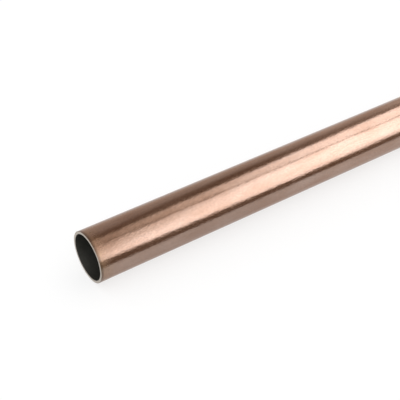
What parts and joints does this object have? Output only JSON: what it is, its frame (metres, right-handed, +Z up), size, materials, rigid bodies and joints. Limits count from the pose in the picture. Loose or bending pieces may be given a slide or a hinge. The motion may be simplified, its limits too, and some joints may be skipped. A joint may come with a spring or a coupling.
{
  "type": "brass tube",
  "caption": "Straight round thin-walled tube, open right through, sawn square at both ends with deburred edges, for plumbing, fittings and sleeves.",
  "frame": {"origin": "on the surface the tube lies on, under the middle of its length", "axes": "+X along the tube's axis, away from the end that the picture shows; +Z up, square to the surface it lies on; Y across the tube"},
  "size_m": [0.3, 0.018, 0.018],
  "materials": {
    "brass": "satin"
  },
  "bodies": {
    "root": {"tube": "brass"}
  },
  "joints": []
}
